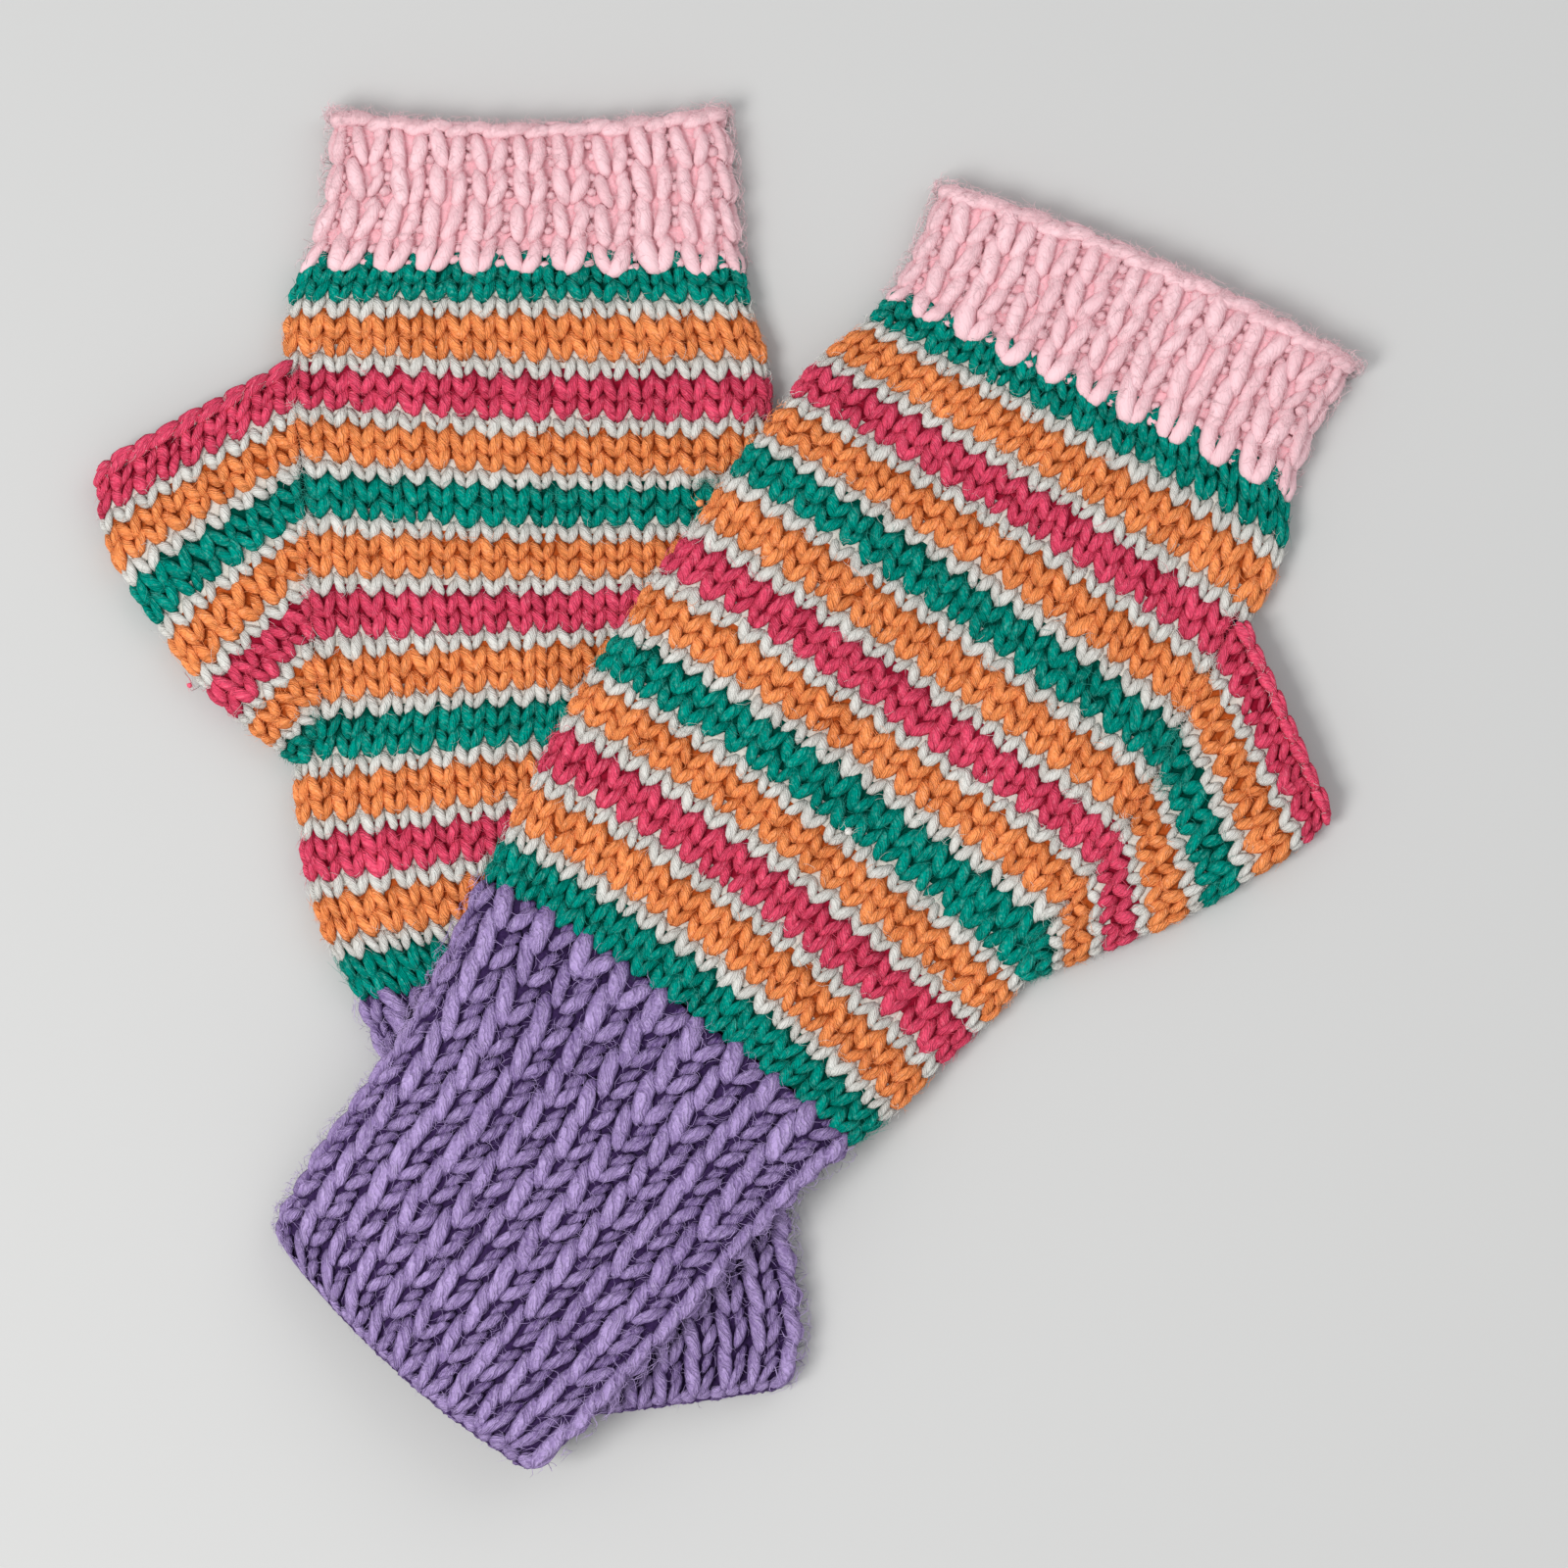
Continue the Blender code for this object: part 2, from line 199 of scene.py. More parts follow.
def along(knots, values, v, reach):
    """The table's value at v, its corners rounded, and carried on straight past its ends."""
    first = values[0] + (values[0] - values[1]) * PAST_END / (knots[1] - knots[0])
    last = values[-1] + (values[-1] - values[-2]) * PAST_END / (knots[-1] - knots[-2])
    wide_knots = np.concatenate([[knots[0] - PAST_END], knots, [knots[-1] + PAST_END]])
    wide = np.concatenate([[first], values, [last]])
    return sum(np.interp(v + o * reach, wide_knots, wide) for o in SMOOTHING) / len(SMOOTHING)


class Tube:
    """A flattened tube of cloth: where a point of it lies, from how far along and round the tube it is."""

    def __init__(self, side, wall, knots, rows, lift, reach=1.0):
        self.side, self.wall, self.knots, self.rows, self.lift = side, wall, knots, rows, lift
        self.reach = reach
        self.radius = wall + LAYER_GAP / 2
        self.middle = self.radius - wall / 2
        self.quarter = math.pi * self.radius / 2

    def edges(self, v):
        """Both ends of the sections, the way across, their width, bow and foldedness."""
        value = {k: along(self.knots, self.rows[k], v, self.reach) for k in self.rows}
        start = np.stack([value["thumb_x"], value["thumb_y"]], -1)
        end = np.stack([value["little_x"], value["little_y"]], -1)
        width = np.linalg.norm(end - start, axis=-1)
        return start, (end - start) / width[..., None], width, value["bow"], value["folded"]

    def lengths(self, v):
        """Where the flat panels start and end, in millimetres from the thumb side."""
        _, _, width, _, folded = self.edges(v)
        return self.radius * folded, width - self.radius

    def place(self, v, zone, t, out):
        """Points at v along the tube and t across a zone of it, out beyond its outer surface."""
        start, across, width, bow, folded = self.edges(v)
        near, far = self.radius * folded, width - self.radius
        out = self.wall / 2 + out
        front, little = zone == FRONT, zone == LITTLE_FOLD
        folds = little | (zone == THUMB_FOLD)
        sign = np.where(little, 1.0, -1.0)
        turn = sign * math.pi * (0.5 - t)
        reach = self.middle + out
        swell = CROWN * np.sin(math.pi * np.clip(t, 0, 1))
        panel = np.where(front, near + (far - near) * t, far + (near - far) * t)
        panel_z = np.where(front, self.radius + self.middle + swell + out, self.radius - self.middle - out)
        s = np.where(folds, np.where(little, far, near) + sign * reach * np.cos(turn), panel)
        z = np.where(folds, self.radius + reach * np.sin(turn), panel_z)
        u = np.clip(s / width, 0, 1)
        ahead = self.side * np.stack([-across[:, 1], across[:, 0]], -1)
        xy = start + across * s[:, None] + ahead * (bow * 4 * u * (1 - u))[:, None]
        z = np.maximum(z, LOWEST) + self.lift(xy)
        return np.column_stack([xy - MIDDLE, z]) * MM


class HandTube(Tube):
    """The hand: about forty stitches round, open along the thumb side between the courses of the gusset."""

    stitches = None  # on the front, from fold to fold

    def spot(self, v, s, course):
        """Zone and place in it of stitch coordinate s, for points that belong to this course."""
        near, far = self.lengths(v)
        slot = (course >= GUSSET_FROM) & (course < GUSSET_TO)
        thumb = np.where(slot, 0.0, self.quarter)
        s = np.where(slot, s, np.mod(s, 2 * self.stitches))
        first = np.where(slot, 1.0, 0.0)
        back = s > self.stitches
        half = np.where(back, 2 * self.stitches - s, s)
        d = (half - first) / (self.stitches - first) * (thumb + far - near + self.quarter)
        on_thumb = (d < thumb) & ~slot
        on_panel = ~on_thumb & (d <= thumb + far - near)
        fold_t = np.clip((d - thumb - (far - near)) / (2 * self.quarter), -0.02, 0.5)
        zone = np.where(on_thumb, THUMB_FOLD, np.where(on_panel, np.where(back, BACK, FRONT), LITTLE_FOLD))
        panel_t = (d - thumb) / (far - near)
        thumb_t = 0.5 + d / (2 * self.quarter)
        front_t = np.where(on_thumb, thumb_t, np.where(on_panel, panel_t, fold_t))
        return zone, np.where(back, 1 - front_t, front_t)


class RibTube(Tube):
    """A rib: twenty knit wales round, nine on each flat side and one over each fold."""

    def spot(self, v, s, course):
        s = np.mod(s + 0.5, 2 * RIBS_HALF) - 0.5
        starts = np.array([0, RIBS_ACROSS, RIBS_HALF, RIBS_HALF + RIBS_ACROSS])
        zone = np.where(s < 0, THUMB_FOLD, np.searchsorted(starts, s, side="right") - 1)
        span = np.array([RIBS_ACROSS, 1, RIBS_ACROSS, 1])[zone]
        return zone, np.where(s < 0, 1 + s, (s - starts[zone]) / span)


class GussetTube(Tube):
    """The thumb gusset: its stitches are counted from the outer fold inwards, to either side."""

    pitch = 5.0

    def half(self, v):
        """Stitches from the outer fold to the seam."""
        near, far = self.lengths(v)
        return (far - near + self.quarter) / self.pitch

    def spot(self, v, s, course):
        near, far = self.lengths(v)
        d = np.abs(s) * self.pitch
        on_fold = d < self.quarter
        fold_t = 0.5 - np.sign(s) * d / (2 * self.quarter)
        panel_t = 1 - (d - self.quarter) / (far - near)
        zone = np.where(on_fold, LITTLE_FOLD, np.where(s >= 0, FRONT, BACK))
        return zone, np.where(on_fold, fold_t, np.where(s >= 0, panel_t, 1 - panel_t))


def hand_tube(mitten, lift):
    rows = columns_of(mitten["hand"], HAND_FIELDS)
    course = rows.pop("course")
    rows["folded"] = np.where((course > GUSSET_FROM) & (course < GUSSET_TO), 0.0, 1.0)
    tube = HandTube(mitten["side"], HAND_WALL, course, rows, lift, 0.8)
    tube.stitches = mitten["stitches"]
    return tube


def rib_tube(mitten, part, lift):
    """The knots of a rib are millimetres along it, from its end at the cuff side."""
    rows = columns_of(mitten[part], RIB_FIELDS)
    rows["folded"] = np.ones(len(mitten[part]))
    middle = np.stack([rows["thumb_x"] + rows["little_x"], rows["thumb_y"] + rows["little_y"]], -1) / 2
    steps = np.linalg.norm(np.diff(middle, axis=0), axis=1)
    return RibTube(mitten["side"], RIB_WALL, np.concatenate([[0], np.cumsum(steps)]), rows, lift, 4.0)


def gusset_tube(mitten, hand, lift):
    knots, *fold = columns_of(mitten["gusset"], GUSSET_FIELDS).values()
    fold = np.stack(fold, -1)
    start, across, _, _, folded = hand.edges(knots)
    edge = start + across * (hand.radius * folded)[:, None]
    edge = edge + (fold - edge) / np.linalg.norm(fold - edge, axis=1)[:, None] * SEAM_GAP
    rows = {"thumb_x": edge[:, 0], "thumb_y": edge[:, 1], "little_x": fold[:, 0], "little_y": fold[:, 1]}
    rows.update(bow=np.zeros(len(knots)), folded=np.zeros(len(knots)))
    return GussetTube(-mitten["side"], HAND_WALL, knots, rows, lift, 0.8)


def flat_lift(xy):
    return np.zeros(len(xy))


def drape_over(nodes):
    """How high the right mitten lies over these nodes of the left one, as in the CAD part."""
    trees = []
    for obj in nodes:
        data = obj.data
        corners = [obj.matrix_world @ v.co for v in data.vertices]
        trees.append(BVHTree.FromPolygons(corners, [p.vertices[:] for p in data.polygons]))
    count = int(2 * GRID_HALF / GRID_STEP) + 1
    heights = np.zeros((count, count))
    for i in range(count):
        for j in range(count):
            start = Vector((i * GRID_STEP - GRID_HALF, j * GRID_STEP - GRID_HALF, RAY_START)) * MM
            for tree in trees:
                hit = tree.ray_cast(start, Vector((0, 0, -1)))[0]
                if hit is not None:
                    heights[i, j] = max(heights[i, j], hit.z / MM)
    raised = np.zeros_like(heights)
    reach = int(FALL_REACH / GRID_STEP)
    for a in range(-reach, reach + 1):
        for b in range(-reach, reach + 1):
            t = min(max((math.hypot(a, b) * GRID_STEP - FLAT_REACH) / (FALL_REACH - FLAT_REACH), 0.0), 1.0)
            share = 1 - t * t * (3 - 2 * t)
            shifted = np.zeros_like(heights)
            shifted[max(a, 0):count + min(a, 0), max(b, 0):count + min(b, 0)] = heights[
                max(-a, 0):count + min(-a, 0), max(-b, 0):count + min(-b, 0)]
            raised = np.maximum(raised, (shifted + CLEARANCE * (shifted > 0)) * share)
    for _ in range(BLUR_PASSES):
        for axis in (0, 1):
            raised = (np.roll(raised, 1, axis) + raised + np.roll(raised, -1, axis)) / 3

    def lift(xy):
        place = (xy - MIDDLE + GRID_HALF) / GRID_STEP
        whole = place.astype(int)
        (a, b), (s, t) = whole.T, (place - whole).T
        low = raised[a, b] * (1 - s) + raised[a + 1, b] * s
        high = raised[a, b + 1] * (1 - s) + raised[a + 1, b + 1] * s
        return low * (1 - t) + high * t

    return lift


@cache
def tubes_of(name):
    """The four surfaces of one mitten."""
    lift = flat_lift
    if name == "right":
        lift = drape_over([obj for key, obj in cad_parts.items() if key.startswith("left_")])
    mitten = MITTENS[name]
    hand = hand_tube(mitten, lift)
    return {
        "hand": hand,
        "cuff": rib_tube(mitten, "cuff", lift),
        "finger": rib_tube(mitten, "finger", lift),
        "gusset": gusset_tube(mitten, hand, lift),
    }


def tube_of(name, part):
    return tubes_of(name)[part]


# Shader nodes

class Socket:
    """A value that flows between shader nodes, written with ordinary operators."""

    def __init__(self, shop, socket):
        self.shop, self.socket = shop, socket

    def math(self, operation, *others):
        made = self.shop.node("ShaderNodeMath", {"operation": operation})
        for value, target in zip((self, *others), made.inputs):
            self.shop.wire(value, target)
        return Socket(self.shop, made.outputs[0])

    def __add__(self, other):
        return self.math("ADD", other)

    def __sub__(self, other):
        return self.math("SUBTRACT", other)

    def __mul__(self, other):
        return self.math("MULTIPLY", other)

    def __pow__(self, other):
        return self.math("POWER", other)

    def clamp(self):
        return self.math("MAXIMUM", 0.0).math("MINIMUM", 1.0)

    def wave(self):
        """The sine of a value, brought to lie between 0 and 1."""
        return self.math("SINE") * 0.5 + 0.5


class NodeShop:
    """Makes the nodes of one material."""

    def __init__(self, name):
        self.material = bpy.data.materials.new(name)
        self.material.use_nodes = True
        self.tree = self.material.node_tree

    def wire(self, value, target):
        if isinstance(value, Socket):
            self.tree.links.new(value.socket, target)
        else:
            target.default_value = value

    def feed(self, node, inputs):
        """Wires values to the inputs of a node, named with _ for a space."""
        for key, value in inputs.items():
            self.wire(value, node.inputs[key.replace("_", " ")])

    def node(self, kind, settings=(), **inputs):
        made = self.tree.nodes.new(kind)
        for key, value in dict(settings).items():
            setattr(made, key, value)
        self.feed(made, inputs)
        return made

    def take(self, output, kind, settings=(), **inputs):
        """One output of a new node."""
        return Socket(self, self.node(kind, settings, **inputs).outputs[output])

    def place(self):
        return self.take("Object", "ShaderNodeTexCoord")

    def noise(self, place, scale, detail):
        return self.take("Fac", "ShaderNodeTexNoise", Vector=place, Scale=scale, Detail=detail)

    def bump(self, height, strength, distance):
        return self.take("Normal", "ShaderNodeBump", Strength=strength, Distance=distance, Height=height)

    def mix(self, share, first, second):
        """A colour between two colours."""
        made = self.node("ShaderNodeMix", {"data_type": "RGBA"})
        for value, index in ((share, 0), (first, 6), (second, 7)):
            self.wire(value, made.inputs[index])
        return Socket(self, made.outputs[2])

    def finish(self, **inputs):
        """The material, once its shader has its constants and what varies."""
        self.feed(self.tree.nodes["Principled BSDF"], inputs)
        return self.material


def rgba(colour):
    return (*colour, 1.0)


def colours_of(name):
    """The colour of a yarn where light falls, and its darker colour of painted shade in the gaps."""
    yarns = bpy.context.scene.mitten_yarns
    return getattr(yarns, name), getattr(yarns, name + "_deep")


@cache
def yarn(name):
    """Soft wool yarn: plies that wind round the strand and loose fibres, with painted shade in the gaps and
    ply grooves and a painted highlight on the crests.
    """
    yarns = bpy.context.scene.mitten_yarns
    light, deep = colours_of(name)
    crisp = CRISPNESS.get(name, 1.0)
    shop = NodeShop(name + "_wool")
    place = shop.place()
    strand = shop.take("UV", "ShaderNodeUVMap", {"uv_map": "Strand"})
    split = shop.node("ShaderNodeSeparateXYZ", Vector=strand)
    round_it, along_it = (Socket(shop, split.outputs[k]) for k in "XY")
    depth = shop.take("Fac", "ShaderNodeAttribute", {"attribute_name": "Depth"})
    patches = shop.noise(place, 70.0, 2.0)
    lint = shop.noise(place, 1500.0, 4.0)
    wobble = shop.noise(place, 260.0, 2.0)
    winding = round_it * yarns.plies - along_it * yarns.twist + wobble * 1.2
    groove = (winding * (2 * math.pi)).wave()
    threads = (winding * (8 * math.pi) + wobble * 5.0).wave()
    combed = shop.take("Vector", "ShaderNodeCombineXYZ", X=winding * 6.0, Y=along_it * 2.5, Z=wobble * 9.0)
    hairs = shop.noise(combed, 1.0, 4.0)
    # Painted shade in the ply grooves and threads, with fibre streaks and lint of the wool's own tone
    streaks = (groove - 0.5) * 0.2 + (threads - 0.5) * 0.2 + (hairs - 0.5) * yarns.fibre + (lint - 0.5) * 0.35
    # Painted shade where the leg dives into the gaps, by its Depth, with random patches of the wool's own
    # tone
    tone = depth ** 1.2 * 0.84 + streaks * crisp + (patches - 0.5) * 0.4 + 0.13
    wool = shop.mix(tone.clamp(), rgba(deep), rgba(light))
    # Painted highlight: paler fibre streaks on the crests, where light falls on the fuzz; partly the paler
    # loose fibres of the wool
    stray_and_highlight = (((hairs + lint - 1.05) * 3.5).clamp() * depth * 0.7).clamp()
    pale = [c * 0.8 + 0.15 for c in light]
    height = groove * 0.3 + threads * 0.3 + hairs * 0.7 + lint * 0.4
    return shop.finish(
        Base_Color=shop.mix(stray_and_highlight, wool, rgba(pale)), Normal=shop.bump(height, 1.0, 0.0007 * crisp),
        Roughness=0.95, Specular_IOR_Level=0.0, Sheen_Weight=0.18, Sheen_Roughness=0.5,
        Sheen_Tint=rgba([0.02 + 0.98 * c for c in light]))


@cache
def ground(name):
    """The cloth between and behind the stitches, coloured darker than the yarn as painted shade."""
    light, deep = colours_of(name)
    shade = GROUND_SHADES.get(name, 0.62)
    shop = NodeShop(name + "_ground")
    place = shop.place()
    fibres = shop.noise(place, 1800.0, 3.0)
    loops = shop.take("Distance", "ShaderNodeTexVoronoi", Vector=place, Scale=420.0)
    # Painted shade: the yarn's gap colour darkened by its share, mottled by the fibres toward a lighter shade
    dark = [c * shade for c in deep]
    lit = [(c * 0.8 + d * 0.2) * shade * 1.5 for c, d in zip(deep, light)]
    return shop.finish(
        Base_Color=shop.mix((fibres * 0.9 + 0.05).clamp(), rgba(dark), rgba(lit)),
        Normal=shop.bump(fibres * 0.5 - loops, 0.7, 0.0006),
        Roughness=0.95, Specular_IOR_Level=0.0, Sheen_Weight=0.2, Sheen_Tint=rgba(light))


@cache
def fibre_wool(name):
    """The loose fibres of one yarn, paler than the strand."""
    pale = [min(c * 0.95 + 0.04, 1.0) for c in colours_of(name)[0]]
    return NodeShop(name + "_fibres").finish(Base_Color=rgba(pale), Roughness=1.0, Specular_IOR_Level=0.0)


def floor_material(colour):
    shop = NodeShop("table_top")
    # Painted shade: the table is 1.5 % darker in large soft patches
    cloud = shop.noise(shop.place(), 3.0, 1.0)
    table_shade = [c * 0.985 for c in colour]
    return shop.finish(Base_Color=shop.mix(cloud, rgba(table_shade), rgba(colour)), Roughness=0.8,
                       Specular_IOR_Level=0.2)


# Legs of stitches

def leg_template(rounds, rings, path, thick):
    """One leg: a sphere drawn out along a path. path(t) gives across, along and out in millimetres, thick(t)
    the radius, for t from 0 at the tip to 1 at the top. Returns points, faces and the UVs of their loops."""
    mesh = bmesh.new()
    layer = mesh.loops.layers.uv.new("Strand")
    bmesh.ops.create_uvsphere(mesh, u_segments=rounds, v_segments=rings, radius=1.0, calc_uvs=True)
    mesh.verts.ensure_lookup_table()
    ball = np.array([v.co[:] for v in mesh.verts])
    faces = [[v.index for v in f.verts] for f in mesh.faces]
    uvs = [[loop[layer].uv[:] for loop in f.loops] for f in mesh.faces]
    mesh.free()
    t = np.arccos(np.clip(-ball[:, 2], -1, 1)) / math.pi
    ring = np.hypot(ball[:, 0], ball[:, 1])
    turn = ball[:, :2] / np.maximum(ring, 1e-6)[:, None]
    way = path(np.minimum(t + 0.02, 1.0)) - path(np.maximum(t - 0.02, 0.0))
    way /= np.linalg.norm(way, axis=1)[:, None]
    beside = np.cross(way, np.array([0.0, 0.0, 1.0]))
    beside /= np.linalg.norm(beside, axis=1)[:, None]
    above = np.cross(beside, way)
    radius = thick(t) * (ring > 1e-4)
    points = path(t) + (turn[:, :1] * beside + turn[:, 1:] * above) * radius[:, None]
    return points, faces, uvs


def grain(radius, sharp=0.55):
    """Radius along a leg: full in its middle, rounded at both ends."""
    return lambda t: radius * np.sin(math.pi * np.clip(t, 0, 1)) ** sharp


def leg(rounds, rings, start, end, radius, sunk=0.0, dive=1.0, rise=0.5, curl=0.0, sharp=0.55):
    """A leg from start to end, across and along in millimetres. Its crest lies sunk under the surface, its
    tip rises from rise deeper, its top dives that much behind the next stitch, and curl bends it sideways."""
    (x0, y0), (x1, y1) = start, end

    def path(t):
        out = -radius - sunk - dive * np.clip((t - 0.4) / 0.6, 0, 1) ** 1.6 - rise * (1 - t) ** 5
        across = x0 + (x1 - x0) * t + curl * np.sin(math.pi * t)
        return np.column_stack([across, y0 + (y1 - y0) * t, out])

    return leg_template(rounds, rings, path, grain(radius, sharp))


def edge_link(rings, start, end, radius, sunk):
    """One link of a knitted edge, lying along it."""
    (x0, y0), (x1, y1) = start, end

    def path(t):
        bend = np.sin(math.pi * t)
        along_it = y0 + (y1 - y0) * t + 0.35 * bend
        return np.column_stack([x0 + (x1 - x0) * t, along_it, bend * 0.5 - radius - sunk])

    return leg_template(8, rings, path, grain(radius, 0.4))


def new_mesh(name, materials):
    data = bpy.data.meshes.new(name)
    for material in materials:
        data.materials.append(material)
    return data


def finished(data):
    """Every piece rides on the one body."""
    obj = bpy.data.objects.new(data.name, data)
    bpy.context.scene.collection.objects.link(obj)
    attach(obj, "root")
    return obj


class Stitches:
    """Collects legs and lays them on the surface of one part as one joined mesh. Rows are the courses of a
    hand or gusset, or rows of this height in millimetres along a rib, counted from first."""

    pieces = {}  # of stitches, by mitten and part

    def __init__(self, name, part, seed, width=WALE, height=COURSE, first=None):
        self.key, self.width, self.height, self.first = (name, part), width, height, first
        self.tube, self.side = tube_of(name, part), MITTENS[name]["side"]
        self.random = np.random.default_rng(seed)
        self.points, self.faces, self.uvs, self.cells, self.depths = [], [], [], [], []
        self.count = 0

    def lay(self, template, v, s, mirror, colour, out=0.0, turn=0.0, jitter=1.0, deep=2.6, narrow=1.0,
            scale=1.0, rough=0.0):
        """Lays one leg for each entry of s: v in rows, s in stitches. mirror is -1 for a left leg."""
        points, faces, uvs = template
        number, each = len(s), len(points)
        if not number:
            return
        v = np.broadcast_to(np.asarray(v, float), (number,))
        random = self.random
        size = scale * (1 + random.normal(0, 0.05, number) * jitter)
        tilt = np.radians(random.normal(0, 3.0, number) * jitter) + turn
        slide = random.normal(0, 0.12, (number, 3)) * jitter
        slide[:, 2] *= 0.6
        middle = points.mean(axis=0)
        local = (points[None] - middle) * size[:, None, None] + middle
        local[:, :, 0] *= mirror
        centre = local.mean(axis=1, keepdims=True)
        x, y, z = np.moveaxis(local - centre, -1, 0)
        cos, sin = np.cos(tilt)[:, None], np.sin(tilt)[:, None]
        turned = np.stack([x * cos - y * sin, x * sin + y * cos, z], -1)
        local = turned + centre + slide[:, None, :] + random.normal(0, 1, turned.shape) * rough
        across = self.side * local[..., 0] / self.width * narrow + s[:, None]
        ahead = (local[..., 1] / self.height + v[:, None]).ravel()
        zone, place = self.tube.spot(ahead, across.ravel(), np.repeat(np.floor(v + 1e-6), each))
        if self.first is not None:
            ahead = self.first + ahead * self.height
        self.points.append(self.tube.place(ahead, zone, place, (local[..., 2] + out).ravel()))
        # Depth runs from 1 at the crest to 0 this deep below it, less a random share; the yarn paints shade
        # with it
        depth = 1 + local[..., 2] / deep - np.abs(random.normal(0, 0.08, number))[:, None]
        self.depths.append(np.clip(depth.ravel(), 0, 1))
        self.add_faces(faces, uvs, each, mirror < 0, np.broadcast_to(colour, (number,)))

    def add_faces(self, faces, uvs, each, left, colours):
        """The faces of the legs, facing outward, and the same way of winding on left and right legs."""
        if left:
            uvs = [[(1 - uv[0], uv[1]) for uv in corners] for corners in uvs]
        else:
            faces, uvs = [face[::-1] for face in faces], [corners[::-1] for corners in uvs]
        for colour in colours:
            self.faces += [[self.count + i for i in face] for face in faces]
            self.uvs += uvs
            self.cells.append((len(self.cells), len(faces), colour))
            self.count += each

    def build(self, title, wool=yarn):
        name, part = self.key
        data = new_mesh(f"{name}_{title}", [wool(y) for y in PARTS[part]["yarns"]])
        data.from_pydata(np.concatenate(self.points), [], self.faces)
        strand = data.uv_layers.new(name="Strand")
        corners = np.array([uv for face in self.uvs for uv in face], np.float32)
        strand.data.foreach_set("uv", corners.ravel())
        cell, faces, colour = np.array(self.cells).T
        data.polygons.foreach_set("material_index", np.repeat(colour, faces).astype(np.int32))
        data.polygons.foreach_set("use_smooth", np.ones(len(data.polygons), bool))
        across = int(math.ceil(math.sqrt(len(self.cells))))
        loops = np.repeat(np.repeat(cell, faces), [len(f) for f in self.faces])
        bake = data.uv_layers.new(name="OFBake")
        cell = np.stack([loops % across, loops // across], -1)
        bake.data.foreach_set("uv", ((cell + 0.04 + corners * 0.92) / across).astype(np.float32).ravel())
        depth = data.attributes.new("Depth", "FLOAT", "POINT")
        depth.data.foreach_set("value", np.concatenate(self.depths).astype(np.float32))
        data.uv_layers.active = strand
        strand.active_render = True
        data.validate()
        data.update()
        self.pieces.setdefault(self.key, []).append(finished(data))


# The ground under the stitches

def ground_shell(name, part, v_rows, columns, inset):
    """A thin closed shell of cloth on the surface of a part: a grid bent round it, then given its thickness.
    columns is the (zone, t) of each column of the grid and inset how far it lies under the outer surface. The
    ground of a rib rises under its wales, and the hand's is open along the thumb fold where the gusset is."""
    tube, relief = tube_of(name, part), PARTS[part]["relief"]
    mesh = bmesh.new()
    layer = mesh.verts.layers.float_vector.new("inner")
    across, ahead = len(columns), len(v_rows)
    cells = across - 1 if part == "gusset" else across
    bmesh.ops.create_grid(mesh, x_segments=cells, y_segments=ahead - 1, size=0.5)
    at = np.array([v.co[:2] for v in mesh.verts]) + 0.5
    i = np.rint(at[:, 0] * cells).astype(int)
    v = np.asarray(v_rows, float)[np.rint(at[:, 1] * (ahead - 1)).astype(int)]
    zone, t = np.array(columns)[i % across].T
    wales = np.where((zone == FRONT) | (zone == BACK), RIBS_ACROSS, 1)
    rise = relief * 0.5 * np.sin(math.pi * np.mod(t * wales, 1.0)) ** 2
    places = tube.place(v, zone, t, np.where(zone == BACK, 0.0, rise) - inset)
    inner = tube.place(v, zone, t, np.full(len(v), -tube.wall))
    for vert, place, within in zip(mesh.verts, places, inner):
        vert.co = place
        vert[layer] = Vector(within)
    index = {vert: k for k, vert in enumerate(mesh.verts)}
    dropped = []
    for face in mesh.faces:
        ids = [index[vert] for vert in face.verts]
        middle, column = v[ids].mean(), int(i[ids].min())
        if part in ("hand", "gusset"):
            face.material_index = YARNS.index(stripe(min(max(middle - GROUND_SHIFT, 0), COURSES - 1)))
        face.smooth = True
        at_thumb = THUMB_FOLD in (columns[column][0], columns[(column + 1) % across][0])
        if part == "hand" and at_thumb and GUSSET_FROM < middle < GUSSET_TO:
            dropped.append(face)
    bmesh.ops.delete(mesh, geom=dropped, context="FACES")
    bmesh.ops.remove_doubles(mesh, verts=mesh.verts[:], dist=1e-6)
    outer_faces = set(mesh.faces)
    copied = bmesh.ops.duplicate(mesh, geom=mesh.verts[:] + mesh.edges[:] + mesh.faces[:])
    twin = copied["vert_map"]
    for element in copied["geom"]:
        if isinstance(element, bmesh.types.BMVert):
            element.co = element[layer]
    bmesh.ops.reverse_faces(mesh, faces=[g for g in copied["geom"] if isinstance(g, bmesh.types.BMFace)])
    for edge in [e for e in mesh.edges if e.is_boundary and e.link_faces[0] in outer_faces]:
        a, b = edge.verts
        if edge.link_loops[0].vert is a:
            a, b = b, a
        face = mesh.faces.new([a, b, twin[b], twin[a]])
        face.material_index = edge.link_faces[0].material_index
        face.smooth = True
    bmesh.ops.recalc_face_normals(mesh, faces=mesh.faces[:])
    data = new_mesh(f"{name}_{part}_ground", [ground(y) for y in PARTS[part]["yarns"]])
    mesh.to_mesh(data)
    mesh.free()
    return finished(data)


def spread(zone, count, closed=False):
    """Columns across one zone."""
    last = count - 1 if closed else count
    return [(zone, k / last) for k in range(count)]


def all_round(front):
    return spread(FRONT, front) + spread(LITTLE_FOLD, 6) + spread(BACK, front) + spread(THUMB_FOLD, 6)


# Properties

def colour_property(name, value, words):
    return FloatVectorProperty(name=name, description=words, subtype="COLOR", size=3, min=0, max=1,
                               default=value)


def lit_colour(name, value):
    return colour_property(name, value, name + " wool where light falls")


# The darker colour of a yarn's painted shade in the gaps
def deep_colour(name, value):
    return colour_property(name + " deep", value, name + " wool in the gaps")


def distance_property(name, value, words):
    return FloatProperty(name=name, description=words, subtype="DISTANCE", default=value)


def radius_property(name, value, words):
    return FloatProperty(name=name, description=f"Radius of a {words}, in millimetres", default=value)


